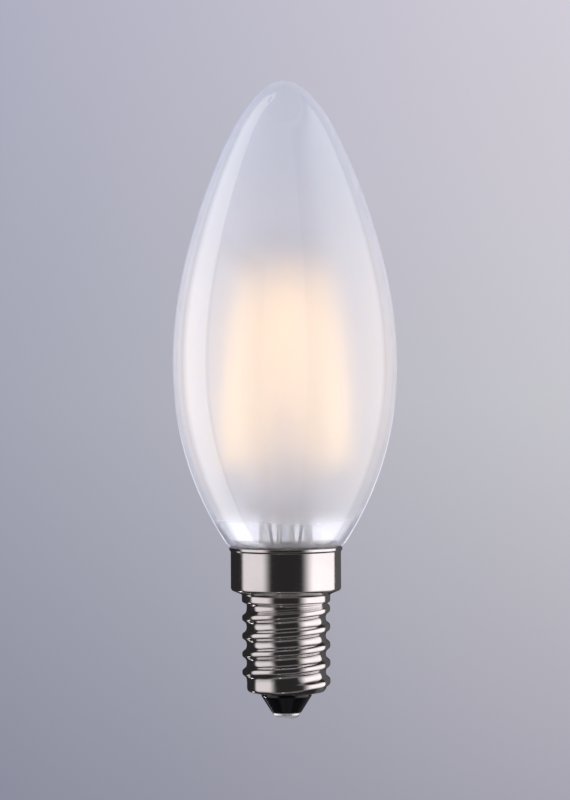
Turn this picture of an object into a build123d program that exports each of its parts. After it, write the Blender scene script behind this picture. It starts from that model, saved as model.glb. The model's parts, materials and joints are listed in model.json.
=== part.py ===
from build123d import *
import math
import os

# A frosted candle lamp with four light-emitting filaments on a small screw cap.
# Lengths are in millimetres. Z is the lamp's axis with the glass tip upwards, and the
# origin is the lowest point of the centre contact. Left and right are along X, and the
# front of the lamp faces -Y.

# Clearances
seat_gap = 0.05
weld_gap = 0.03

# Glass envelope
overall_length = 99.5
bulb_diameter = 35.0
belly_height = 54.9
shoulder_diameter = 18.05
shoulder_rise = 0.3
shoulder_edge = 0.4
inner_shoulder_round = 0.15
neck_bend_depth = 0.45
neck_end_rise = 0.9
glass_wall = 0.65

# Screw cap, pressed from thin sheet. Lengths follow each other up from its floor
sheet = 0.25
cap_floor = 3.9
thread_tube_length = 14.0
band_length = 0.95
band_edge = 0.35
slope_rise = 1.45
skirt_length = 6.45
lip_flare = 0.3
lip_height = 0.65
skirt_diameter = 17.2
band_step = 0.075
thread_diameter = 13.75
thread_depth = 0.72
thread_pitch = 2.822
thread_crest_width = 0.52
thread_foot_width = 1.8
thread_start_rise = 1.87
thread_start_angle = -15.0
thread_end_rise = 0.15
floor_hole_diameter = 7.9
floor_corner = 0.9
skirt_corner = 0.6

# Insulator, centre contact and cement
insulator_tip_height = 1.0
insulator_tip_diameter = 4.6
insulator_depth = 2.3
eyelet_flange_diameter = 4.4
eyelet_flange_thickness = 0.3
eyelet_tube_diameter = 1.8
eyelet_tube_length = 2.2
eyelet_bore = 0.7
solder_diameter = 3.6
side_drop_diameter = 1.24
side_drop_shift = 0.95
cement_thickness = 0.85
cement_depth = 1.35
cement_length = 3.9

# Glass stem
stem_diameter = 8.4
stem_wall = 0.8
stem_length = 10.3
flare_length = 2.6
pinch_taper = 2.1
pinch_grip = 2.0
pinch_width = 9.6
pinch_thickness = 3.4
exhaust_diameter = 2.8
exhaust_wall = 0.5
exhaust_tip_gap = 0.9
blow_hole_diameter = 1.6
blow_hole_rise = 1.4

# Wires
lead_diameter = 0.5
lead_spacing = 5.2
lead_waist_spacing = 3.5
lead_waist_offset = 0.95
lead_waist_rise = 4.3
lead_straight = 0.9
bridge_diameter = 0.5
bridge_overhang = 0.9

# Filaments
filament_rise = 19.5
filament_mid_spread = 9.0
filament_row_spread = 3.8
filament_lean = 6.3
strip_length = 32.0
strip_width = 1.1
strip_thickness = 0.4
phosphor_length = 30.0
phosphor_width = 1.9
phosphor_thickness = 1.4
tab_length = 4.4
tab_width = 1.0
tab_thickness = 0.2
tab_overlap = 0.9
weld_inset = 1.0

# Driver in the cap
board_gap = 1.4
board_side_gap = 0.56
board_length = 10.4
board_thickness = 1.0
board_corner = 0.5
rectifier_rise = 2.45
rectifier_length = 4.7
rectifier_width = 3.4
rectifier_height = 1.8
control_chip_depth = 2.7
control_chip_length = 4.9
control_chip_width = 3.9
control_chip_height = 1.4
chip_leg_width = 0.45
chip_leg_reach = 0.6
chip_bevel = 0.2
small_chip_shift = 3.6
small_chip_length = 1.6
small_chip_width = 0.8
small_chip_height = 0.5
part_gap = 0.1
capacitor_diameter = 5.0
capacitor_length = 7.6
capacitor_rise = 2.6
capacitor_shift = 1.6
capacitor_edge = 0.3
capacitor_leg_spacing = 2.0
resistor_diameter = 2.2
resistor_length = 5.6
resistor_rise = 3.4
resistor_shift = 3.0
resistor_bevel = 0.3
leg_diameter = 0.4
leg_drop = 0.7
solder_overlap = 1.7
wire_inset = 0.6
neutral_inset = 1.4

# Heights, radii and places that follow from the sizes above
band_foot = cap_floor + thread_tube_length
slope_foot = band_foot + band_length
skirt_foot = slope_foot + slope_rise
cap_top = skirt_foot + skirt_length
neck_end_height = skirt_foot + neck_end_rise
neck_bend_height = cap_top - neck_bend_depth
shoulder_height = cap_top + shoulder_rise
insulator_top = cap_floor + insulator_depth
eyelet_tube_top = insulator_tip_height + eyelet_tube_length
cement_top = cap_top - cement_depth
cement_foot = cement_top - cement_length
board_foot = insulator_top + board_gap
board_top = board_foot + board_length
exhaust_tip_height = board_top + exhaust_tip_gap
pinch_foot = neck_end_height + stem_length
pinch_flat_height = pinch_foot + pinch_taper
pinch_top = pinch_flat_height + pinch_grip
blow_hole_height = pinch_foot + blow_hole_rise
lead_waist_height = neck_end_height + lead_waist_rise
filament_mid_height = pinch_top + filament_rise

bulb_radius = bulb_diameter / 2
flank_drop = belly_height - shoulder_height
flank_inset = bulb_radius - shoulder_diameter / 2
lower_curve_radius = (flank_drop ** 2 + flank_inset ** 2) / (2 * flank_inset)
stem_radius = stem_diameter / 2
skirt_radius = skirt_diameter / 2
skirt_inner = skirt_radius - sheet
neck_radius = skirt_inner - cement_thickness
band_radius = thread_diameter / 2 + band_step
thread_root = thread_diameter / 2 - thread_depth
thread_inner = thread_root - sheet
lead_radius = lead_diameter / 2
bridge_radius = bridge_diameter / 2
board_front = lead_radius + seat_gap
board_back = board_front + board_thickness
board_half = math.sqrt(thread_inner ** 2 - board_back ** 2) - board_side_gap
filament_rows = (-filament_row_spread / 2, filament_row_spread / 2)
lean = math.radians(filament_lean)


def turned(lines):
    """A piece turned about the lamp's axis from a closed outline of (radius, height)."""
    return revolve(Plane.XZ * make_face(lines), Axis.Z)


def wire(points, diameter):
    """A round wire along straight runs, bent sharply at each corner."""
    path = Polyline(*points)
    start = Plane(origin=path @ 0, z_dir=path % 0)
    return sweep(start * Circle(diameter / 2), path=path, transition=Transition.RIGHT)


# Glass envelope

def flank_radius(height):
    """Radius of the glass below its belly, on one arc centred level with the belly."""
    drop = belly_height - height
    rise = math.sqrt(lower_curve_radius ** 2 - drop ** 2)
    return bulb_radius - lower_curve_radius + rise


def candle_curve(inset):
    """Glass outline from the belly to the tip, moved inwards along its normals by inset."""
    reach = overall_length - belly_height
    candle_form = ((0.21, 0.965), (0.42, 0.853), (0.63, 0.681), (0.80, 0.494), (0.926, 0.295))
    points = [(bulb_radius, belly_height)]
    for along, across in candle_form:
        points.append((across * bulb_radius, belly_height + along * reach))
    points.append((0, overall_length))
    ends = ((0, 1), (-1, 0))
    outer = Spline(*points, tangents=ends)
    if inset == 0:
        return outer
    moved = []
    for step in range(len(points)):
        share = step / (len(points) - 1)
        along = outer % share
        moved.append(outer @ share + inset * Vector(-along.Y, along.X))
    return Spline(*moved, tangents=ends)


def glass_envelope():
    """The blown glass: a candle form open at its neck."""
    edge_height = shoulder_height + shoulder_edge
    shoulder = (flank_radius(edge_height), edge_height)
    halfway = (shoulder_height + belly_height) / 2
    flank = ThreePointArc(
        (bulb_radius, belly_height), (flank_radius(halfway), halfway), shoulder
    )
    neck = FilletPolyline(
        shoulder,
        (flank_radius(shoulder_height), shoulder_height),
        (neck_radius, neck_bend_height),
        (neck_radius, neck_end_height),
        radius=(glass_wall + inner_shoulder_round, 0),
    )
    outside = Wire([*flank.edges(), *neck.edges()])
    inside = outside.offset_2d(glass_wall, side=Side.RIGHT, closed=False)
    tip = Line((0, overall_length - glass_wall), (0, overall_length))
    foot = Line((neck_radius - glass_wall, neck_end_height), (neck_radius, neck_end_height))
    upper = [*candle_curve(0).edges(), *candle_curve(glass_wall).edges()]
    return turned([*outside.edges(), *inside.edges(), *upper, *tip.edges(), *foot.edges()])


# Stem

def stem_flare():
    """Flared tube pressed flat at its top, where it grips the lead wires."""
    bore = stem_radius - stem_wall
    flare_top = neck_end_height + flare_length
    tube = turned(
        Polyline(
            (stem_radius, pinch_foot),
            (stem_radius, flare_top),
            (stem_radius + stem_wall, neck_end_height + stem_wall),
            (neck_radius - glass_wall, neck_end_height),
            (neck_radius, neck_end_height),
            (neck_radius, neck_end_height - stem_wall),
            (stem_radius, neck_end_height),
            (bore, flare_top),
            (bore, pinch_foot),
            close=True,
        )
    )

    round_end = Plane.XY.offset(pinch_foot) * Circle(stem_radius)
    flat_end = Plane.XY.offset(pinch_flat_height) * SlotOverall(pinch_width, pinch_thickness)
    pinch = loft([round_end, flat_end])
    pinch += extrude(flat_end, pinch_top - pinch_flat_height)
    stem = tube + pinch

    bore_rise = blow_hole_height - pinch_foot
    stem -= Pos(0, 0, pinch_foot + bore_rise / 2) * Cylinder(blow_hole_diameter / 2, bore_rise)
    outlet = Pos(0, 0, blow_hole_height) * Rot(-90, 0, 0) * Cylinder(
        blow_hole_diameter / 2, stem_diameter, align=(Align.CENTER, Align.CENTER, Align.MIN)
    )
    stem -= outlet
    for side in (-1, 1):
        channel = Cylinder(
            lead_radius + weld_gap,
            pinch_top - pinch_foot + 2,
            align=(Align.CENTER, Align.CENTER, Align.MIN),
        )
        stem -= Pos(side * lead_spacing / 2, 0, pinch_foot - 1) * channel
    return stem


def exhaust_tube():
    """Thin tube that the lamp was pumped and filled through, melted shut at its foot."""
    outer = exhaust_diameter / 2
    inner = outer - exhaust_wall
    closed = exhaust_tip_height + exhaust_wall
    return turned(
        Polyline(
            (inner, pinch_foot),
            (inner, closed + inner),
            (0, closed),
            (0, exhaust_tip_height),
            (outer, exhaust_tip_height + outer),
            (outer, pinch_foot),
            close=True,
        )
    )


# Filaments and the wires that carry them

def filament_frame(side, row):
    """Plane at a filament's middle: X faces outwards and Z runs up along the filament."""
    return Plane(
        origin=(side * filament_mid_spread / 2, row, filament_mid_height),
        x_dir=(side * math.cos(lean), 0, math.sin(lean)),
        z_dir=(-side * math.sin(lean), 0, math.cos(lean)),
    )


def weld_point(side, end):
    """Centre of the wire that a filament's tabs are welded to, at Y = 0."""
    reach = strip_length / 2 + tab_length - tab_overlap - weld_inset
    inset = strip_thickness / 2 - weld_gap - bridge_radius
    frame = filament_frame(side, 0)
    return frame.from_local_coords(Vector(inset, 0, end * reach))


def filament_strip(side, row):
    """Thin ceramic strip that carries the chips."""
    return filament_frame(side, row) * Box(strip_thickness, strip_width, strip_length)


def filament_phosphor(side, row):
    """Silicone coat loaded with phosphor, moulded round the strip."""
    coat = Plane.XY.offset(-phosphor_length / 2) * Ellipse(
        phosphor_thickness / 2, phosphor_width / 2
    )
    slot = Box(
        strip_thickness + 2 * weld_gap, strip_width + 2 * weld_gap, phosphor_length + 1
    )
    return filament_frame(side, row) * (extrude(coat, phosphor_length) - slot)


def filament_tab(side, row, end):
    """Flat metal tab on the outward face of the strip's end, reaching past it."""
    tab = Box(
        tab_thickness,
        tab_width,
        tab_length,
        align=(Align.MIN, Align.CENTER, Align.MIN),
    )
    tab = Pos(strip_thickness / 2, 0, strip_length / 2 - tab_overlap) * tab
    if end < 0:
        tab = mirror(tab, Plane.XY)
    return filament_frame(side, row) * tab


def lower_bridge(side):
    """Short wire across the foot of the two filaments on one side."""
    centre = weld_point(side, -1)
    length = filament_row_spread + 2 * bridge_overhang
    return Pos(centre) * Rot(90, 0, 0) * Cylinder(bridge_radius, length)


def top_bridge():
    """Wire ring, bent square and welded closed, that joins the four upper tabs."""
    centre = weld_point(1, 1)
    half_depth = filament_row_spread / 2 + bridge_overhang
    ring = Polyline(
        (0, -half_depth, centre.Z),
        (centre.X, -half_depth, centre.Z),
        (centre.X, half_depth, centre.Z),
        (-centre.X, half_depth, centre.Z),
        (-centre.X, -half_depth, centre.Z),
        close=True,
    )
    start = Plane(origin=ring @ 0, z_dir=(1, 0, 0))
    return sweep(start * Circle(bridge_radius), path=ring, transition=Transition.RIGHT)


def lead_wire(side):
    """Wire from the driver through the stem and its pinch to a lower bridge."""
    weld = weld_point(side, -1)
    at_board = side * (board_half - wire_inset)
    solder_y = board_front - lead_radius - weld_gap
    in_pinch = side * lead_spacing / 2
    weld_reach = weld.X - side * (bridge_radius + weld_gap)
    return wire(
        (
            (at_board, solder_y, board_top - solder_overlap),
            (at_board, solder_y, board_top + lead_straight),
            (side * lead_waist_spacing / 2, -lead_waist_offset, lead_waist_height),
            (in_pinch, 0, pinch_foot - lead_straight),
            (in_pinch, 0, pinch_top + lead_straight),
            (weld_reach, 0, weld.Z),
        ),
        lead_diameter,
    )


# Screw cap

def cap_outline():
    """Outside of the pressed cap without its thread, from the floor hole to the lip."""
    return FilletPolyline(
        (floor_hole_diameter / 2, cap_floor),
        (thread_root, cap_floor),
        (thread_root, band_foot),
        (band_radius, band_foot + band_edge),
        (band_radius, slope_foot),
        (skirt_radius, skirt_foot),
        (skirt_radius, cap_top - lip_height),
        (skirt_radius + lip_flare, cap_top),
        radius=(floor_corner, 0, 0, 0, skirt_corner, 0),
    )


def thread_ridge(inset):
    """Helical ridge with sloping flanks, moved in by inset on every face."""
    half_crest = thread_crest_width / 2
    half_foot = thread_foot_width / 2
    run = half_foot - half_crest
    slant = math.hypot(thread_depth, run)
    shift = inset * (slant - run) / thread_depth
    crest = thread_depth - inset
    sunk = -inset - thread_depth
    outline = Polyline(
        (sunk, shift - half_foot),
        (-inset, shift - half_foot),
        (crest, shift - half_crest),
        (crest, half_crest - shift),
        (-inset, half_foot - shift),
        (sunk, half_foot - shift),
        close=True,
    )
    start = cap_floor + thread_start_rise
    climb = slope_foot + thread_end_rise - start
    helix = Helix(thread_pitch, climb, thread_root, center=(0, 0, start))
    section = Plane(origin=helix @ 0, x_dir=(1, 0, 0), z_dir=helix % 0) * make_face(outline)
    return Rot(0, 0, thread_start_angle) * sweep(section, path=helix, is_frenet=True)


def cap_shell():
    """Cap pressed from one thin sheet, with its thread rolled in and its foot turned under."""
    skin = cap_outline()
    strip = turned(skin.wire().offset_2d(sheet, side=Side.LEFT, closed=True))
    closing = Polyline(skin @ 1, (0, cap_top), (0, cap_floor), skin @ 0)
    full = turned(skin + closing)
    void = full - strip
    shell = full + thread_ridge(0)
    shell -= void
    shell -= thread_ridge(sheet)
    return shell


def cap_insulator():
    """Black glass cast into the cap's floor, with a hole for the centre contact."""
    inner_floor = cap_floor + sheet
    wide = thread_inner - seat_gap
    waist = floor_hole_diameter / 2 - seat_gap
    eyelet_hole = eyelet_tube_diameter / 2 + seat_gap
    wire_hole = eyelet_bore / 2
    corner = floor_corner - sheet + seat_gap
    tip = insulator_tip_diameter / 2
    outside = Polyline(
        (eyelet_hole, insulator_tip_height),
        (tip, insulator_tip_height),
        (waist, inner_floor - sheet),
        (waist, inner_floor),
        (wide - corner, inner_floor),
        (wide, inner_floor + corner),
        (wide, insulator_top),
        (wire_hole, insulator_top),
    )
    inside = Polyline(
        (wire_hole, insulator_top),
        (wire_hole, eyelet_tube_top),
        (eyelet_hole, eyelet_tube_top),
        (eyelet_hole, insulator_tip_height),
    )
    return turned(outside + inside)


def contact_eyelet():
    """Brass eyelet: a flat rim under the insulator and a tube up into its hole."""
    flange_foot = insulator_tip_height - eyelet_flange_thickness
    return turned(
        Polyline(
            (eyelet_bore / 2, flange_foot),
            (eyelet_flange_diameter / 2, flange_foot),
            (eyelet_flange_diameter / 2, insulator_tip_height),
            (eyelet_tube_diameter / 2, insulator_tip_height),
            (eyelet_tube_diameter / 2, eyelet_tube_top),
            (eyelet_bore / 2, eyelet_tube_top),
            close=True,
        )
    )


def centre_solder():
    """Solder bead under the eyelet, set as one main drop with a smaller one beside it."""
    seat = insulator_tip_height - eyelet_flange_thickness
    drop_radius = (seat ** 2 + (solder_diameter / 2) ** 2) / (2 * seat)
    drop = Pos(0, 0, drop_radius) * Sphere(drop_radius)
    side_drop = Pos(-side_drop_shift, 0, seat) * Sphere(side_drop_diameter / 2)
    width = 2 * solder_diameter
    keep = Box(width, width, seat, align=(Align.CENTER, Align.CENTER, Align.MIN))
    return (drop + side_drop) & keep


def cap_cement():
    """Ring of lamp cement between the glass neck and the cap's skirt."""
    inner = neck_radius + seat_gap
    outer = skirt_inner - seat_gap
    return turned(
        Polyline(
            (inner, cement_foot),
            (outer, cement_foot),
            (outer, cement_top),
            (inner, cement_top),
            close=True,
        )
    )


# Driver

def driver_board():
    """Small circuit board standing on edge in the cap, just behind the axis."""
    board = Box(2 * board_half, board_thickness, board_length)
    board = fillet(board.edges().filter_by(Axis.Y), board_corner)
    middle = Vector(0, board_front + board_thickness / 2, board_foot + board_length / 2)
    return Pos(middle) * board


def legged_chip(length, width, height, legs):
    """A moulded chip on the board's back, with a row of legs down each long side."""
    stand = part_gap
    body = Box(length, height, width)
    body = chamfer(body.faces().sort_by(Axis.Y)[-1].edges(), chip_bevel)
    body = Pos(0, board_back + stand + height / 2, 0) * body
    leg_depth = chip_leg_reach + part_gap
    leg = Box(chip_leg_width, height / 2, leg_depth, align=(Align.CENTER, Align.MIN, Align.MIN))
    pitch = length / legs
    for count in range(legs):
        along = (count - (legs - 1) / 2) * pitch
        body += Pos(along, board_back, width / 2 - part_gap) * leg
        body += Pos(along, board_back, -width / 2 - chip_leg_reach) * leg
    return body


def rectifier_bridge():
    """Four-legged rectifier near the foot of the board."""
    chip = legged_chip(rectifier_length, rectifier_width, rectifier_height, 2)
    return Pos(0, 0, board_foot + rectifier_rise) * chip


def driver_chip():
    """Eight-legged control chip near the head of the board."""
    chip = legged_chip(control_chip_length, control_chip_width, control_chip_height, 4)
    return Pos(0, 0, board_top - control_chip_depth) * chip


def chip_resistor(side):
    """Flat resistor on the board's back, beside the rectifier."""
    body = Box(
        small_chip_width,
        small_chip_height,
        small_chip_length,
        align=(Align.CENTER, Align.MIN, Align.CENTER),
    )
    return Pos(side * small_chip_shift, board_back, board_foot + rectifier_rise) * body


def board_leg(x, y, foot):
    """Leg that leaves a part's foot downwards and turns back to the board's front."""
    sunk = capacitor_edge
    level = foot - leg_drop
    return wire(((x, y, foot + sunk), (x, y, level), (x, board_front, level)), leg_diameter)


def smoothing_capacitor():
    """Upright can with its crimped groove and two legs bent back to the board."""
    radius = capacitor_diameter / 2
    edge = capacitor_edge
    can = turned(
        Polyline(
            (0, 0),
            (radius - edge, 0),
            (radius, edge),
            (radius - edge, 3 * edge),
            (radius, 4 * edge),
            (radius, capacitor_length - edge),
            (radius - edge, capacitor_length),
            (0, capacitor_length),
            close=True,
        )
    )
    y = board_front - radius - part_gap
    foot = board_foot + capacitor_rise
    can = Pos(-capacitor_shift, y, foot) * can
    for side in (-1, 1):
        can += board_leg(side * capacitor_leg_spacing / 2 - capacitor_shift, y, foot)
    return can


def fusible_resistor():
    """Upright wire-ended resistor with bevelled ends, its foot leg bent to the board."""
    radius = resistor_diameter / 2
    bevel = resistor_bevel
    body = turned(
        Polyline(
            (0, 0),
            (radius - bevel, 0),
            (radius, bevel),
            (radius, resistor_length - bevel),
            (radius - bevel, resistor_length),
            (0, resistor_length),
            close=True,
        )
    )
    y = board_front - radius - part_gap
    foot = board_foot + resistor_rise
    return Pos(resistor_shift, y, foot) * body + board_leg(resistor_shift, y, foot)


def live_wire():
    """Straight wire up the axis from the centre solder to the board's front."""
    foot = insulator_tip_height - eyelet_flange_thickness
    rise = board_foot + solder_overlap - foot
    return Pos(0, 0, foot) * Cylinder(
        lead_radius, rise, align=(Align.CENTER, Align.CENTER, Align.MIN)
    )


def neutral_wire():
    """Wire from the board's back to the inside of the cap under its skirt."""
    x = board_half - neutral_inset
    y = board_back + lead_radius + weld_gap
    reach = band_radius - sheet - seat_gap - lead_radius / 4
    bearing = math.atan2(y, x)
    head = slope_foot
    return wire(
        (
            (x, y, board_top - solder_overlap),
            (x, y, head),
            (reach * math.cos(bearing), reach * math.sin(bearing), head),
        ),
        lead_diameter,
    )


# Export

os.makedirs("parts", exist_ok=True)
export_step(glass_envelope(), "parts/glass_envelope.step")
export_step(stem_flare(), "parts/stem_flare.step")
export_step(exhaust_tube(), "parts/exhaust_tube.step")
export_step(top_bridge(), "parts/top_bridge.step")
export_step(cap_shell(), "parts/cap_shell.step")
export_step(cap_insulator(), "parts/cap_insulator.step")
export_step(contact_eyelet(), "parts/contact_eyelet.step")
export_step(centre_solder(), "parts/centre_solder.step")
export_step(cap_cement(), "parts/cap_cement.step")
export_step(driver_board(), "parts/driver_board.step")
export_step(rectifier_bridge(), "parts/rectifier_bridge.step")
export_step(driver_chip(), "parts/driver_chip.step")
export_step(smoothing_capacitor(), "parts/smoothing_capacitor.step")
export_step(fusible_resistor(), "parts/fusible_resistor.step")
export_step(live_wire(), "parts/live_wire.step")
export_step(neutral_wire(), "parts/neutral_wire.step")
for name, side in (("left", -1), ("right", 1)):
    export_step(lead_wire(side), f"parts/lead_wire_{name}.step")
    export_step(lower_bridge(side), f"parts/lower_bridge_{name}.step")
    export_step(chip_resistor(side), f"parts/chip_resistor_{name}.step")
places = [(side, row) for side in (-1, 1) for row in filament_rows]
for number, (side, row) in enumerate(places, start=1):
    export_step(filament_strip(side, row), f"parts/filament_{number}_strip.step")
    export_step(filament_phosphor(side, row), f"parts/filament_{number}_phosphor.step")
    export_step(filament_tab(side, row, -1), f"parts/filament_{number}_lower_tab.step")
    export_step(filament_tab(side, row, 1), f"parts/filament_{number}_upper_tab.step")
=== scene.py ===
import json
import math

import bpy
import numpy as np
from mathutils import Matrix, Vector


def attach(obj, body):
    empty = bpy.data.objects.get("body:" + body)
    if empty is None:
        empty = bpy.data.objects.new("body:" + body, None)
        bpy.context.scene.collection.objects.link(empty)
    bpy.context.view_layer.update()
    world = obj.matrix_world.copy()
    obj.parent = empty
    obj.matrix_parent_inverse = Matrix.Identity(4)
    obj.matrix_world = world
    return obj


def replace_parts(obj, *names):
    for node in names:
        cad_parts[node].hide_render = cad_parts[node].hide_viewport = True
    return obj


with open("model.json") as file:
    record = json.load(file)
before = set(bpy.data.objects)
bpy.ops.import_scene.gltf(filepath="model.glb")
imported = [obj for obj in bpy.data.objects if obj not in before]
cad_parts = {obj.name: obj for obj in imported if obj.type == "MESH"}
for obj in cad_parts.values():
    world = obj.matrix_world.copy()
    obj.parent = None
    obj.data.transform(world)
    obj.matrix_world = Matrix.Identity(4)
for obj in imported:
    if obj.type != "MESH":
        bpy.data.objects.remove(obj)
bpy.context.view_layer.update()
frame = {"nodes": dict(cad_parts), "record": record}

# Outlines of turned pieces are in mm. All other lengths are in metres, as in the frame.
MM = 0.001
ON_AXIS = 1e-6
nodes = frame["nodes"]


# Mesh helpers

def curve_through(points, start, end, count):
    """Smooth curve through points in about count steps, with the given directions at its ends."""
    p = np.array(points, float)
    step = np.linalg.norm(np.diff(p, axis=0), axis=1)
    n = len(p)
    a = np.zeros((n, n))
    b = np.zeros((n, 2))
    a[0, 0] = a[-1, -1] = 1
    b[0], b[-1] = start, end
    for i in range(1, n - 1):
        h, k = step[i - 1], step[i]
        a[i, i - 1], a[i, i], a[i, i + 1] = k, 2 * (h + k), h
        b[i] = 3 * (k * (p[i] - p[i - 1]) / h + h * (p[i + 1] - p[i]) / k)
    slope = np.linalg.solve(a, b)
    found = []
    for i in range(n - 1):
        share = max(2, int(round(count * step[i] / step.sum())))
        for t in np.arange(share) / share:
            h00, h10 = 2 * t**3 - 3 * t**2 + 1, t**3 - 2 * t**2 + t
            h01, h11 = 3 * t**2 - 2 * t**3, t**3 - t**2
            found.append(h00 * p[i] + h01 * p[i + 1]
                         + step[i] * (h10 * slope[i] + h11 * slope[i + 1]))
    found.append(p[-1])
    return [tuple(q) for q in found]


def rounded(points, radii, parts=6):
    """Outline with its inner corners rounded. radii has one value for each inner corner."""
    nearly_straight = math.radians(89.5)
    found = [points[0]]
    for before, corner, after, radius in zip(points, points[1:], points[2:], radii):
        u = (Vector(before) - Vector(corner)).normalized()
        v = (Vector(after) - Vector(corner)).normalized()
        half = u.angle(v) / 2
        if radius <= 0 or half > nearly_straight:
            found.append(corner)
            continue
        reach = radius / math.tan(half)
        centre = Vector(corner) + (u + v).normalized() * (radius / math.sin(half))
        first = Vector(corner) + u * reach - centre
        last = Vector(corner) + v * reach - centre
        turn = first.angle_signed(last)
        for k in range(parts + 1):
            q = centre + Matrix.Rotation(-turn * k / parts, 2) @ first
            found.append(tuple(q))
    found.append(points[-1])
    return found


def divided(points, longest):
    """The same outline with no side longer than longest."""
    found = [points[0]]
    for p, q in zip(points, points[1:]):
        parts = max(1, math.ceil(math.dist(p, q) / longest))
        for k in range(1, parts + 1):
            found.append((p[0] + (q[0] - p[0]) * k / parts, p[1] + (q[1] - p[1]) * k / parts))
    return found


def inwards(points, depth):
    """The outline moved to its left by depth."""
    p = np.array(points, float)
    along = np.gradient(p, axis=0)
    along /= np.linalg.norm(along, axis=1)[:, None]
    return [tuple(q) for q in p + depth * np.stack([-along[:, 1], along[:, 0]], 1)]


def turned(name, outline, columns, materials, swell=None, kinds=None):
    """Piece turned about the Z axis from a closed outline in mm.

    swell(angles, row) moves a row out, and kinds has the number of each row's material.
    """
    angles = np.arange(columns) * 2 * math.pi / columns
    verts, rows = [], []
    for i, (r, z) in enumerate(outline):
        if r < ON_AXIS:
            rows.append([len(verts)] * columns)
            verts.append((0, 0, z * MM))
            continue
        out = r + (swell(angles, i) if swell else 0 * angles)
        rows.append(list(range(len(verts), len(verts) + columns)))
        verts += [(x, y, z * MM) for x, y in zip(out * np.cos(angles) * MM, out * np.sin(angles) * MM)]
    faces, kind = [], []
    for i in range(len(rows)):
        a, b = rows[i], rows[(i + 1) % len(rows)]
        if a[0] == a[1] and b[0] == b[1]:
            continue
        for j in range(columns):
            k = (j + 1) % columns
            face = [a[j], a[k], b[k], b[j]]
            face = [v for n, v in enumerate(face) if v != face[n - 1]]
            faces.append(face)
            kind.append(kinds[i] if kinds else 0)
    return piece(name, verts, faces, materials, kind)


def piece(name, verts, faces, materials, kind=None):
    """Smooth mesh object. kind has the number of each face's material."""
    mesh = bpy.data.meshes.new(name)
    mesh.from_pydata(verts, [], faces)
    for m in materials:
        mesh.materials.append(m)
    if kind:
        mesh.polygons.foreach_set("material_index", kind)
    mesh.shade_smooth()
    mesh.set_sharp_from_angle(angle=math.radians(50))
    mesh.update()
    made = bpy.data.objects.new(name, mesh)
    bpy.context.scene.collection.objects.link(made)
    return made


# Material helpers

def new_material(name):
    material = bpy.data.materials.new(name)
    material.use_nodes = True
    material.node_tree.nodes.clear()
    return material


def add(material, kind, values=None, **settings):
    made = material.node_tree.nodes.new("ShaderNode" + kind)
    for key, value in settings.items():
        setattr(made, key, value)
    for key, value in (values or {}).items():
        made.inputs[key].default_value = value
    return made


def join(material, *pairs):
    for start, end in pairs:
        material.node_tree.links.new(start, end)


def place_of(material):
    return add(material, "TexCoord").outputs["Object"]


def noise(material, scale, detail=3.0, stretch=None):
    """Noise over the piece. scale is in blobs per metre."""
    made = add(material, "TexNoise", {"Scale": scale, "Detail": detail})
    start = place_of(material)
    if stretch:
        mapped = add(material, "Mapping", {"Scale": stretch})
        join(material, (start, mapped.inputs["Vector"]))
        start = mapped.outputs["Vector"]
    join(material, (start, made.inputs["Vector"]))
    return made.outputs["Fac"]


def ranged(material, value, low, high, start=0.3, end=0.7):
    """Runs from low to high while value goes from start to end."""
    made = add(material, "MapRange", {"From Min": start, "From Max": end, "To Min": low, "To Max": high})
    join(material, (value, made.inputs["Value"]))
    return made.outputs["Result"]


def tinted(material, value, low, high, start=0.3, end=0.7):
    """Runs from colour low to colour high while value goes from start to end."""
    made = add(material, "ValToRGB")
    made.color_ramp.elements[0].position = start
    made.color_ramp.elements[0].color = (*low, 1)
    made.color_ramp.elements[1].position = end
    made.color_ramp.elements[1].color = (*high, 1)
    join(material, (value, made.inputs["Fac"]))
    return made.outputs["Color"]


def relief(material, value, depth, shader):
    made = add(material, "Bump", {"Strength": 1.0, "Distance": depth})
    join(material, (value, made.inputs["Height"]), (made.outputs["Normal"], shader.inputs["Normal"]))


def finish(material, shader, name="BSDF"):
    out = add(material, "OutputMaterial")
    join(material, (shader.outputs[name], out.inputs["Surface"]))
    return material


def lets_lamps_through(material, shader, tint):
    """The shader, but open to shadow rays, so that lamps light what is behind the glass."""
    open_way = add(material, "BsdfTransparent", {"Color": (*tint, 1)})
    rays = add(material, "LightPath")
    mixed = add(material, "MixShader")
    join(
        material,
        (rays.outputs["Is Shadow Ray"], mixed.inputs["Fac"]),
        (shader.outputs[0], mixed.inputs[1]),
        (open_way.outputs["BSDF"], mixed.inputs[2]),
    )
    return mixed


def srgb(r, g, b):
    return tuple((c / 255 / 12.92) if c < 11 else ((c / 255 + 0.055) / 1.055) ** 2.4 for c in (r, g, b))


# Materials

def envelope_glass():
    m = new_material("envelope_glass")
    glass = add(m, "BsdfPrincipled", {
        "Base Color": (0.99, 0.99, 1.0, 1), "IOR": 1.47, "Transmission Weight": 1.0,
    })
    join(m, (ranged(m, noise(m, 60), 0.0, 0.02), glass.inputs["Roughness"]))
    relief(m, noise(m, 45, 1.0), 0.00003, glass)
    return finish(m, lets_lamps_through(m, glass, (0.97, 0.97, 0.98)), "Shader")


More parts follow.
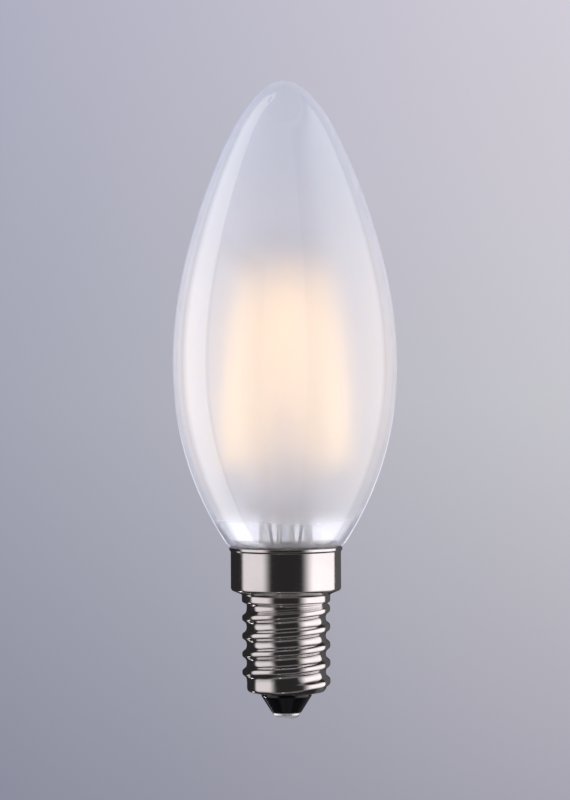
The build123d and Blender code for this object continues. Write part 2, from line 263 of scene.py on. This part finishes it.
def satin_coat():
    """Fine frosting on the inside of the glass, which fades out just above the cap."""
    coat_clear, coat_full = 0.0272, 0.0331
    powder_clear, powder_full = 0.0282, 0.0330
    rim_clear, rim_full = 0.0300, 0.0325
    full_roughness, unevenness = 0.75, 0.0005
    m = new_material("satin_coat")
    glass = add(m, "BsdfGlass", {"Color": (0.98, 0.98, 1.0, 1), "IOR": 1.47}, distribution="BECKMANN")
    white = add(m, "BsdfDiffuse", {"Color": (0.84, 0.885, 0.985, 1)})
    behind = add(m, "BsdfTranslucent", {"Color": (0.9, 0.89, 0.93, 1)})
    powder = add(m, "MixShader", {"Fac": 0.15})
    height = add(m, "SeparateXYZ")
    ragged = add(m, "Math", operation="ADD")
    join(
        m,
        (place_of(m), height.inputs["Vector"]),
        (height.outputs["Z"], ragged.inputs[0]),
        (ranged(m, noise(m, 150), -unevenness, unevenness), ragged.inputs[1]),
        (white.outputs["BSDF"], powder.inputs[1]),
        (behind.outputs["BSDF"], powder.inputs[2]),
    )
    level = ragged.outputs[0]
    onset = add(m, "Math", {1: 2.5}, operation="POWER")
    rough = add(m, "Math", {1: full_roughness}, operation="MULTIPLY")
    facing = add(m, "LayerWeight", {"Blend": 0.5})
    rim = add(m, "Math", operation="MULTIPLY")
    share = add(m, "Math", operation="ADD")
    mottled = add(m, "Math", operation="MULTIPLY")
    mixed = add(m, "MixShader")
    join(
        m,
        (ranged(m, level, 0.05, 1.0, coat_clear, coat_full), onset.inputs[0]),
        (onset.outputs[0], rough.inputs[0]),
        (rough.outputs[0], glass.inputs["Roughness"]),
        (ranged(m, facing.outputs["Facing"], 0.0, 0.4, 0.235, 0.275), rim.inputs[0]),
        (ranged(m, level, 0.0, 1.0, rim_clear, rim_full), rim.inputs[1]),
        (ranged(m, level, 0.3, 0.5, powder_clear, powder_full), share.inputs[0]),
        (rim.outputs[0], share.inputs[1]),
        (share.outputs[0], mottled.inputs[0]),
        (ranged(m, noise(m, 500), 0.94, 1.03), mottled.inputs[1]),
        (mottled.outputs[0], mixed.inputs["Fac"]),
        (glass.outputs["BSDF"], mixed.inputs[1]),
        (powder.outputs[0], mixed.inputs[2]),
    )
    return finish(m, mixed, "Shader")


def clear_glass():
    """Glass of the stem, with a pale diffuse mixed in where it is seen edge on: a painted highlight
    along its edges.
    """
    m = new_material("clear_glass")
    glass = add(m, "BsdfPrincipled", {
        "Base Color": (0.97, 0.98, 0.98, 1), "IOR": 1.5, "Transmission Weight": 1.0, "Roughness": 0.01,
    })
    relief(m, noise(m, 250, 1.0), 0.00004, glass)
    # Pale diffuse shown at grazing angles: painted highlight along the edges of the tubes.
    edge_highlight_white = add(m, "BsdfDiffuse", {"Color": (0.95, 0.93, 0.97, 1)})
    facing = add(m, "LayerWeight", {"Blend": 0.5})
    edge = add(m, "MixShader")
    join(
        m,
        (ranged(m, facing.outputs["Facing"], 0.06, 0.85, 0.45, 0.85), edge.inputs["Fac"]),
        (glass.outputs["BSDF"], edge.inputs[1]),
        (edge_highlight_white.outputs["BSDF"], edge.inputs[2]),
    )
    return finish(m, lets_lamps_through(m, edge, (0.95, 0.95, 0.96)), "Shader")


def grained(name, low, high, smooth, rough, scale, depth, blotches, metallic, stretch=None):
    """Surface with blotches of two colours, a fine relief, and roughness that follows its grain.

    scale is the grain in blobs per metre, and the blotches are that many times larger.
    """
    m = new_material(name)
    shader = add(m, "BsdfPrincipled", {"Metallic": metallic})
    grain = noise(m, scale, 4.0, stretch)
    join(
        m,
        (tinted(m, noise(m, scale / blotches), low, high), shader.inputs["Base Color"]),
        (ranged(m, grain, smooth, rough), shader.inputs["Roughness"]),
    )
    relief(m, grain, depth, shader)
    return finish(m, shader)


def metal(name, low, high, smooth, rough, scale, depth, stretch=None):
    return grained(name, low, high, smooth, rough, scale, depth, 6, 1.0, stretch)


def solid(name, low, high, smooth, rough, scale, depth):
    return grained(name, low, high, smooth, rough, scale, depth, 3, 0.0)


def glowing_phosphor():
    """Amber coat, brighter over each of the chips set along the strip.

    It glows less where the foot of a strip leans out from the axis, and near its head.
    """
    foot_bright, foot_dim = 0.0056, 0.0076
    head_bright, head_dim = 0.063, 0.070
    m = new_material("glowing_phosphor")
    shader = add(m, "BsdfPrincipled", {"Roughness": 0.45, "Emission Color": (1.0, 0.64, 0.22, 1)})
    chips = add(m, "TexWave", {"Scale": 290.0}, bands_direction="Z")
    spot = add(m, "SeparateXYZ")
    side = add(m, "Math", operation="ABSOLUTE")
    power = add(m, "Math", operation="MULTIPLY")
    ends = add(m, "Math", operation="MULTIPLY")
    join(
        m,
        (place_of(m), chips.inputs["Vector"]),
        (place_of(m), spot.inputs["Vector"]),
        (spot.outputs["X"], side.inputs[0]),
        (ranged(m, chips.outputs["Fac"], 3.0, 4.6, 0.0, 1.0), power.inputs[0]),
        (ranged(m, side.outputs[0], 1.0, 0.08, foot_bright, foot_dim), power.inputs[1]),
        (power.outputs[0], ends.inputs[0]),
        (ranged(m, spot.outputs["Z"], 1.0, 0.4, head_bright, head_dim), ends.inputs[1]),
        (ends.outputs[0], shader.inputs["Emission Strength"]),
        (tinted(m, noise(m, 800), (0.85, 0.55, 0.16), (0.95, 0.68, 0.25)), shader.inputs["Base Color"]),
    )
    return finish(m, shader)


# Each metal and solid has its two colours, its least and most roughness, its grain in blobs per
# metre and the depth of its relief in metres.
looks = {
    "clear_glass": clear_glass(),
    "bright_wire": metal(
        "bright_wire", (0.1, 0.085, 0.08), (0.2, 0.18, 0.17), 0.3, 0.45, 4000, 0.000004),
    "strip_ceramic": solid(
        "strip_ceramic", (0.8, 0.8, 0.78), (0.9, 0.9, 0.88), 0.35, 0.5, 3000, 0.000004),
    "phosphor": glowing_phosphor(),
    "cap_nickel": metal(
        "cap_nickel", (0.72, 0.695, 0.68), (0.82, 0.8, 0.79), 0.09, 0.16, 900, 0.000002, (1, 1, 6)),
    "black_glass": solid(
        "black_glass", (0.006, 0.006, 0.009), (0.012, 0.011, 0.014), 0.05, 0.15, 700, 0.000015),
    "contact_brass": metal(
        "tinned_brass", (0.5, 0.49, 0.47), (0.62, 0.6, 0.58), 0.25, 0.4, 3000, 0.000004),
    "solder": metal(
        "solder", (0.5, 0.5, 0.52), (0.68, 0.68, 0.7), 0.15, 0.35, 900, 0.00003),
    "cement": solid(
        "cement", (0.74, 0.7, 0.64), (0.84, 0.8, 0.75), 0.8, 0.95, 2500, 0.00008),
    "board": solid(
        "board", (0.02, 0.12, 0.06), (0.03, 0.17, 0.09), 0.35, 0.5, 2500, 0.00001),
    "chip_plastic": solid(
        "chip_plastic", (0.015, 0.015, 0.017), (0.03, 0.03, 0.032), 0.45, 0.6, 5000, 0.000008),
    "capacitor_sleeve": solid(
        "capacitor_sleeve", (0.012, 0.015, 0.03), (0.02, 0.024, 0.045), 0.3, 0.4, 1500, 0.000006),
    "resistor_body": solid(
        "resistor_body", (0.16, 0.3, 0.16), (0.2, 0.36, 0.2), 0.5, 0.65, 2500, 0.00001),
}
for part in frame["record"]["subparts"]:
    look = looks.get(part.get("material_slot"))
    if look:
        for s in nodes[part["node"]].material_slots:
            s.material = look


# Glass envelope, with the satin coat as its inner face

bulb_radius, tip_height = 17.5, 99.5
belly_height, flank_foot, flank_curve = 54.9, 27.45, 50
neck_radius, neck_foot, neck_head = 7.5, 21.2, 26.3
shoulder_radius, shoulder_height = 8.52, 26.78
glass_wall = 0.65
tip_steps, flank_rows, neck_step, glass_columns = 110, 45, 0.8, 160

# Candle form above the belly: share of the way up to the tip, and share of the radius there
candle_form = ((0.21, 0.965), (0.42, 0.853), (0.63, 0.681), (0.80, 0.494), (0.926, 0.295))

tip_points = [(bulb_radius, belly_height)]
for up, out in candle_form:
    tip_points.append((bulb_radius * out, belly_height + (tip_height - belly_height) * up))
tip_points.append((0, tip_height))
tip_curve = curve_through(tip_points, (0, 1), (-1, 0), tip_steps)

flank = []
for k in range(flank_rows):
    z = flank_foot + (belly_height - flank_foot) * k / flank_rows
    r = bulb_radius - flank_curve + math.sqrt(flank_curve**2 - (belly_height - z) ** 2)
    flank.append((r, z))

neck = rounded(
    ((neck_radius, neck_foot), (neck_radius, neck_head), (shoulder_radius, shoulder_height), flank[0]),
    (0.9, 0.8),
)
outer = divided(neck[:-1], neck_step) + flank + tip_curve
inner = inwards(outer, glass_wall)
inner = [(max(r, 0), z) for r, z in inner[:-1]] + [(0, tip_height - glass_wall)]
kinds = [0] * len(outer) + [1] * (len(inner) - 1) + [0]
glasses = [envelope_glass(), satin_coat()]
envelope = turned("bulb_glass", outer + inner[::-1], glass_columns, glasses, kinds=kinds)
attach(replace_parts(envelope, "glass_envelope"), "root")


# Screw cap of thin sheet, with its thread rolled in

sheet = 0.25
cap_step, cap_columns = 0.16, 224
floor_hole, floor_height = 3.95, 4.2
band_radius, band_foot, band_head = 6.9, 18.3, 19.45
skirt_radius, skirt_foot, skirt_head = 8.6, 20.15, 26.15
lip_radius, lip_foot, lip_head = 8.82, 26.37, 26.75

thread_pitch, thread_depth, thread_root, thread_head = 2.822, 0.72, 6.155, 17.9
lowest_thread, highest_thread, widest_root = 4.6, 18.1, 6.4
crest_at_right, crest_half, crest_power = 5.89, 0.62, 4.5
first_turn, run_in = -0.30, 0.22
last_turn, run_out = 4.42, 0.3


def ridge(angles, z):
    """How far the rolled thread stands out at one height of the cap."""
    along = z - crest_at_right - thread_pitch * angles / (2 * math.pi)
    turns = np.round(along / thread_pitch)
    off_crest = along - turns * thread_pitch
    total = turns + angles / (2 * math.pi)
    start = np.clip((total - first_turn) / run_in, 0, 1)
    stop = np.clip((last_turn - total) / run_out, 0, 1)
    fade = (start * start * (3 - 2 * start)) * (stop * stop * (3 - 2 * stop))
    return thread_depth * fade / (1 + (np.abs(off_crest) / crest_half) ** crest_power)


skin = rounded(
    ((floor_hole, floor_height), (thread_root, floor_height + 0.05), (thread_root, thread_head),
     (band_radius, band_foot), (band_radius, band_head), (skirt_radius, skirt_foot),
     (skirt_radius, skirt_head), (lip_radius, lip_foot), (lip_radius, lip_head)),
    (0.6, 0.3, 0.35, 0.3, 0.5, 0.12, 0.12),
)
skin = divided(skin, cap_step)
cap_outline = skin + inwards(skin, sheet)[::-1]
threaded = [lowest_thread < z < highest_thread and r < widest_root for r, z in cap_outline]


def thread_swell(angles, row):
    return ridge(angles, cap_outline[row][1]) if threaded[row] else 0 * angles


# The top edge of the sheet is dark metal: painted shade along the top of the lip, under the glass.
painted_shade_edge = metal("painted_shade_edge", (0.1, 0.09, 0.085), (0.17, 0.155, 0.145), 0.3, 0.5, 3000, 0.000004)
cap_kinds = [int(row == len(skin) - 1) for row in range(len(cap_outline))]
metals = [looks["cap_nickel"], painted_shade_edge]
cap = turned("screw_cap", cap_outline, cap_columns, metals, thread_swell, cap_kinds)
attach(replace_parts(cap, "cap_shell"), "root")


# Black glass insulator and the solder bead

foot_height = 1.0
eyelet_seat, seat_top = 0.95, 3.2
blow_hole = 0.35
cone_foot, cone_head, cone_top = 2.3, 3.93, 3.6
plug_foot, plug_flat, plug_radius, plug_shoulder, plug_top = 4.15, 5.2, 5.855, 4.85, 6.2
insulator_step, insulator_columns = 0.4, 96

insulator_outline = rounded(
    ((eyelet_seat, foot_height), (cone_foot, foot_height), (cone_head, cone_top), (cone_head, plug_foot),
     (plug_flat, plug_foot), (plug_radius, plug_shoulder), (plug_radius, plug_top),
     (blow_hole, plug_top)),
    (0.25, 0.3, 0, 0.1, 0.1, 0.1),
)
insulator_outline = divided(insulator_outline, insulator_step)
insulator_outline += [(blow_hole, seat_top), (eyelet_seat, seat_top)]
insulator = turned("black_insulator", insulator_outline, insulator_columns, [looks["black_glass"]])
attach(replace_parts(insulator, "cap_insulator"), "root")


def solder_bead():
    """Solder run over the centre contact: a full drop right of the axis and a lesser one left of it."""
    edge, rim_fall, seat_gap = 2.26, 0.28, 0.02
    right_middle, right_reach, right_fall = 0.8, 1.25, 0.7
    left_middle, left_reach, left_fall = -0.9, 1.0, 0.5
    rings, columns = 15, 64
    verts, faces = [], []

    def drop(x, y, middle, reach):
        return math.sqrt(max(0, 1 - ((x - middle) ** 2 + y ** 2) / reach ** 2))

    for i in range(rings):
        r = edge * i / (rings - 1)
        rim = math.sqrt(max(0, 1 - (r / edge) ** 6))
        for k in range(columns):
            a = 2 * math.pi * k / columns
            x, y = r * math.cos(a), r * math.sin(a)
            right = right_fall * drop(x, y, right_middle, right_reach)
            left = left_fall * drop(x, y, left_middle, left_reach)
            fall = rim_fall * rim + math.hypot(right, left)
            verts.append((x * MM, y * MM, max(0.0, foot_height - fall) * MM))
    for k in range(columns):
        a = 2 * math.pi * k / columns
        verts.append((edge * math.cos(a) * MM, edge * math.sin(a) * MM, (foot_height + seat_gap) * MM))
    for k in range(1, columns):
        faces.append((0, columns + (k + 1) % columns, columns + k))
    for i in range(1, rings):
        for k in range(columns):
            j = (k + 1) % columns
            a, b = i * columns, (i + 1) * columns
            faces.append((a + k, a + j, b + j, b + k))
    faces.append(tuple(rings * columns + k for k in range(columns)))
    return piece("solder_bead", verts, faces, [looks["solder"]])


solder = solder_bead()
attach(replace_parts(solder, "centre_solder"), "root")


# Stage helpers

def stage_piece(name, verts, faces, material):
    made = piece(name, verts, faces, [material])
    return made


def wall_light():
    """Grey-lavender glowing ground, with painted shade: darker to the left and to the foot."""
    foot_z, head_z, side_x = -0.153, 0.253, 0.15
    # Colours at the foot, the middle and the head of each side; the darker left and foot are painted
    # shade.
    left = ((139, 141, 158), (163, 165, 180), (174, 175, 193))
    right = ((168, 166, 178), (199, 198, 205), (210, 205, 216))
    m = new_material("wall_light")
    place = add(m, "SeparateXYZ")
    join(m, (add(m, "NewGeometry").outputs["Position"], place.inputs["Vector"]))
    sides = []
    for colours in (left, right):
        ramp = add(m, "ValToRGB")
        for k, (spot, colour) in enumerate(zip((0.0, 0.5, 1.0), colours)):
            if k == 1:
                ramp.color_ramp.elements.new(spot)
            ramp.color_ramp.elements[k].position = spot
            ramp.color_ramp.elements[k].color = (*srgb(*colour), 1)
        join(m, (ranged(m, place.outputs["Z"], 0, 1, foot_z, head_z), ramp.inputs["Fac"]))
        sides.append(ramp.outputs["Color"])
    mixed = add(m, "Mix", data_type="RGBA")
    light = add(m, "Emission")
    join(
        m,
        (ranged(m, place.outputs["X"], 0, 1, -side_x, side_x), mixed.inputs["Factor"]),
        (sides[0], mixed.inputs["A"]),
        (sides[1], mixed.inputs["B"]),
        (mixed.outputs["Result"], light.inputs["Color"]),
    )
    return finish(m, light, "Emission")


def floor_look():
    """Pale matt floor, clear from below."""
    m = new_material("floor_look")
    shader = add(m, "BsdfPrincipled", {"Roughness": 0.6})
    clear = add(m, "BsdfTransparent")
    mixed = add(m, "MixShader")
    join(
        m,
        (tinted(m, noise(m, 3), (0.6, 0.6, 0.66), (0.63, 0.62, 0.68)), shader.inputs["Base Color"]),
        (add(m, "NewGeometry").outputs["Backfacing"], mixed.inputs["Fac"]),
        (shader.outputs["BSDF"], mixed.inputs[1]),
        (clear.outputs["BSDF"], mixed.inputs[2]),
    )
    return finish(m, mixed, "Shader")


def lamp_look(name, strength, colour, soft, film):
    """Evenly lit card, dark on its back. soft is the share that fades at its left, right, foot and head.

    A film adds its light and hides nothing.
    """
    m = new_material(name)
    spot = add(m, "SeparateXYZ")
    join(m, (add(m, "TexCoord").outputs["UV"], spot.inputs["Vector"]))
    level = ranged(m, add(m, "NewGeometry").outputs["Backfacing"], strength, 0.0, 0.0, 1.0)
    left, right, foot, head = soft
    for axis, dark, lit in (("X", 0, left), ("X", 1, 1 - right), ("Y", 0, foot), ("Y", 1, 1 - head)):
        edge = add(m, "MapRange", {"From Min": dark, "From Max": lit}, interpolation_type="SMOOTHSTEP")
        faded = add(m, "Math", operation="MULTIPLY")
        join(
            m,
            (spot.outputs[axis], edge.inputs["Value"]),
            (level, faded.inputs[0]),
            (edge.outputs["Result"], faded.inputs[1]),
        )
        level = faded.outputs[0]
    light = add(m, "Emission", {"Color": (*colour, 1)})
    join(m, (level, light.inputs["Strength"]))
    if not film:
        return finish(m, light, "Emission")
    both = add(m, "AddShader")
    join(m, (light.outputs[0], both.inputs[0]), (add(m, "BsdfTransparent").outputs[0], both.inputs[1]))
    return finish(m, both, "Shader")


def lights_only(light, objects):
    """The light reaches these objects and no others."""
    group = bpy.data.collections.new(light.name + "_reach")
    for o in objects:
        group.objects.link(o)
    light.light_linking.receiver_collection = group


def lamp(name, reach, azimuths, heights, distance, strength, colour, soft, film=False):
    """Card curved round the bulb, which lights the objects in reach alone.

    Azimuth is 0 at the camera and grows to the right. Both spans are in degrees.
    """
    across, up, centre_height = 16, 16, 0.05
    verts, faces, spots = [], [], []
    for i in range(up + 1):
        for j in range(across + 1):
            u, v = j / across, i / up
            a = math.radians(azimuths[0] + (azimuths[1] - azimuths[0]) * u)
            e = math.radians(heights[0] + (heights[1] - heights[0]) * v)
            verts.append((
                distance * math.sin(a) * math.cos(e), -distance * math.cos(a) * math.cos(e),
                centre_height + distance * math.sin(e),
            ))
            spots.append((u, v))
    for i in range(up):
        for j in range(across):
            k = i * (across + 1) + j
            faces.append((k, k + across + 1, k + across + 2, k + 1))
    card = stage_piece(name, verts, faces, lamp_look(name + "_look", strength, colour, soft, film))
    layer = card.data.uv_layers.new(name="UV")
    for loop, spot in zip(card.data.loops, layer.data):
        spot.uv = spots[loop.vertex_index]
    card.visible_camera = False
    lights_only(card, reach)


def dome(rows, columns):
    """Vertices and faces of a dome about the Z axis, from the radius and height of its rows."""
    verts, faces = [], []
    for r, z in rows:
        for k in range(columns):
            a = 2 * math.pi * k / columns
            verts.append((r * math.cos(a), r * math.sin(a), z))
    for i in range(len(rows) - 1):
        a, b = i * columns, (i + 1) * columns
        for k in range(columns):
            j = (k + 1) % columns
            faces.append((a + j, a + k, b + k, b + j))
    return verts, faces


# Lamps: the glass and the metal each have their own

opaque = [cap, insulator, solder]
glassy = [envelope] + [o for o in nodes.values() if not o.hide_render and o not in opaque]

cool, rosy = (0.94, 0.965, 1.02), (1.0, 0.94, 0.97)
lamp("strip_left", glassy, (-131, -86), (-72, 78), 0.5, 2.6, cool, (0.45, 0.03, 0.02, 0.02))
lamp("fill_left", glassy, (-84, -22), (-50, 30), 0.52, 1.25, cool, (0.05, 0.55, 0.1, 0.1))
lamp("soft_right", glassy, (22, 126), (-60, 60), 0.5, 1.75, cool, (0.5, 0.12, 0.1, 0.1))
lamp("neck_back", glassy, (160, 200), (-16, 0), 0.5, 1.0, cool, (0.3, 0.3, 0.3, 0.3), True)
lamp("high_fill", glassy, (-180, 180), (64, 88), 0.5, 0.35, cool, (0.01, 0.01, 0.1, 0.1))
lamp("card_left", opaque, (-107, -29), (-50, 50), 0.47, 0.88, rosy, (0.14, 0.3, 0.42, 0.42), True)
lamp("card_right", opaque, (30, 122), (-52, 52), 0.47, 1.3, rosy, (0.35, 0.02, 0.42, 0.42), True)
lamp("low_left", opaque, (225, 237), (-38, -32), 0.46, 3.0, rosy, (0.1, 0.1, 0.2, 0.2), True)
lamp("low_back", opaque, (150, 222), (-37, -32), 0.46, 0.8, rosy, (0.5, 0.1, 0.2, 0.2), True)
lamp("low_front", opaque, (-20, -16), (-53, -49), 0.46, 4.0, rosy, (0.1, 0.1, 0.1, 0.1), True)
lamp("low_centre", opaque, (-70, 70), (-80, -26), 0.46, 0.14, rosy, (0.2, 0.2, 0.2, 0.3), True)
lamp("high_centre", opaque, (-70, 70), (30, 80), 0.46, 0.14, rosy, (0.2, 0.2, 0.3, 0.2), True)
lamp("low_streak", [insulator], (227, 238), (-38, -18), 0.46, 14.0, rosy, (0.1, 0.1, 0.1, 0.1), True)
lamp("under", [solder], (-180, 180), (-89, -35), 0.46, 0.45, rosy, (0.001, 0.001, 0.001, 0.2), True)
lamp("edge_right", opaque, (122, 168), (-50, 30), 0.46, 0.08, rosy, (0.1, 0.1, 0.1, 0.1), True)
lamp("room", opaque, (-180, 180), (-89, 89), 0.45, 0.024, rosy, (0.001, 0.001, 0.001, 0.001), True)

for name, node in nodes.items():
    if "phosphor" in name:
        lights_only(node, glassy)


# Wall, floor and room

wall_rows = (
    (0.9, -0.6), (0.9, -0.2), (0.9, 0.2), (0.9, 0.6), (0.9, 0.9),
    (0.8, 1.15), (0.55, 1.4), (0.25, 1.55), (0.0, 1.6),
)
wall = stage_piece("wall", *dome(wall_rows, 64), wall_light())
wall.data.materials[0].cycles.emission_sampling = "NONE"
lights_only(wall, glassy)

floor_reach, floor_level = 2, -0.55
corners = ((-1, -1), (1, -1), (1, 1), (-1, 1))
floor_verts = [(x * floor_reach, y * floor_reach, floor_level) for x, y in corners]
stage_piece("floor", floor_verts, [(0, 1, 2, 3)], floor_look())


def studio_world():
    """Dim room whose far side, behind the bulb, is grey."""
    made = bpy.data.worlds.new("studio")
    made.use_nodes = True
    tree = made.node_tree
    direction = tree.nodes.new("ShaderNodeSeparateXYZ")
    ramp = tree.nodes.new("ShaderNodeValToRGB")
    ramp.color_ramp.elements[0].position = 0.8
    ramp.color_ramp.elements[0].color = (0.02, 0.02, 0.024, 1)
    ramp.color_ramp.elements[1].position = 0.93
    ramp.color_ramp.elements[1].color = (*srgb(176, 176, 190), 1)
    tree.links.new(tree.nodes.new("ShaderNodeTexCoord").outputs["Generated"], direction.inputs["Vector"])
    tree.links.new(direction.outputs["Y"], ramp.inputs["Fac"])
    tree.links.new(ramp.outputs["Color"], tree.nodes["Background"].inputs["Color"])
    return made


bpy.context.scene.world = studio_world()


# Camera, level with the middle of the lamp. half_frame is half of the view's height there.

sensor, view_distance, view_height = 36, 0.4, 0.0497
half_frame = 0.0624
roll = math.radians(-0.3)

camera = bpy.data.objects.new("camera", bpy.data.cameras.new("camera"))
bpy.context.scene.collection.objects.link(camera)
camera.data.lens = sensor / 2 / (half_frame / view_distance)
camera.data.clip_start = 0.01
camera.location = (0, -view_distance, view_height)
camera.rotation_euler = (math.radians(90), 0, 0)
camera.rotation_euler.rotate_axis("Z", roll)
bpy.context.scene.camera = camera
bpy.context.scene.view_settings.view_transform = "Standard"
